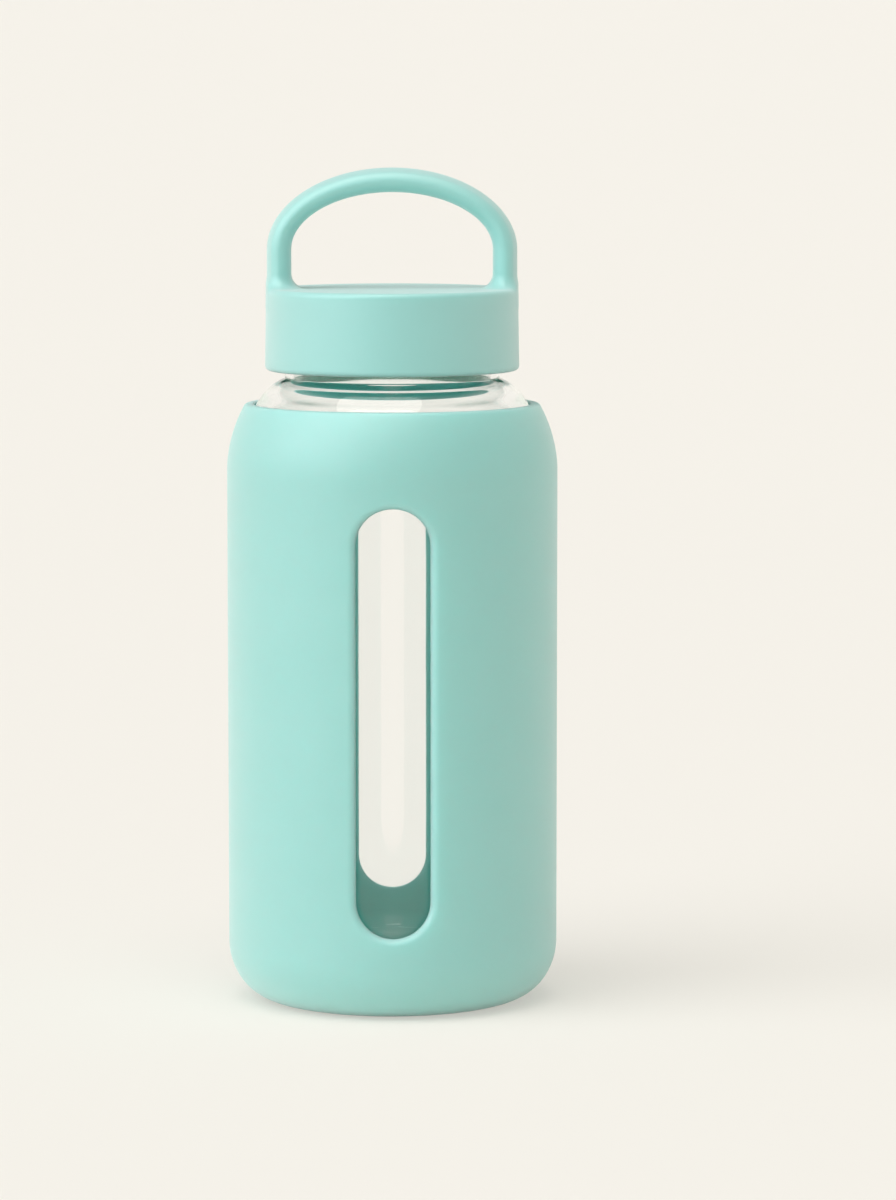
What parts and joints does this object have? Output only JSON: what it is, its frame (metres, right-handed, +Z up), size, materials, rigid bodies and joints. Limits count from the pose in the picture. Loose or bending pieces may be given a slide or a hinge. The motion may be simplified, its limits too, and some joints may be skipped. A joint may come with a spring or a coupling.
{
  "type": "glass water bottle",
  "caption": "Clear glass water bottle in a soft sleeve with tall sight windows, closed by a gasketed screw cap with a fixed arched carry loop.",
  "frame": {"origin": "middle of the sleeve's foot, on the surface the bottle stands on", "axes": "+Z up along the bottle's axis, X along the carry loop, -Y out of the front window"},
  "size_m": [0.09, 0.09, 0.2271],
  "materials": {
    "clear_glass": "clear, polished, faint green edge",
    "sleeve_silicone": "matte, soft to the touch, mint green",
    "cap_plastic": "matte moulded, mint green",
    "liner_plastic": "satin moulded, pale mint green",
    "seal_silicone": "milky translucent, matte"
  },
  "bodies": {
    "bottle": {"glass_bottle": "clear_glass", "silicone_sleeve": "sleeve_silicone"},
    "seal": {"seal_ring": "seal_silicone"},
    "cap": {"cap_shell": "cap_plastic", "thread_liner": "liner_plastic"}
  },
  "joints": [
    {"name": "cap_lift", "type": "slide", "parent": "bottle", "child": "seal", "axis": [0, 0, 1], "range_m": [0, 0.00626]},
    {"name": "cap_turn", "type": "hinge", "parent": "seal", "child": "cap", "pos_m": [0, 0, 0.1875], "axis": [0, 0, 1], "range_deg": [0, 450]}
  ],
  "couplings": [
    {"joint": "cap_lift", "follows": "cap_turn", "m_per_rad": 0.00079577}
  ]
}
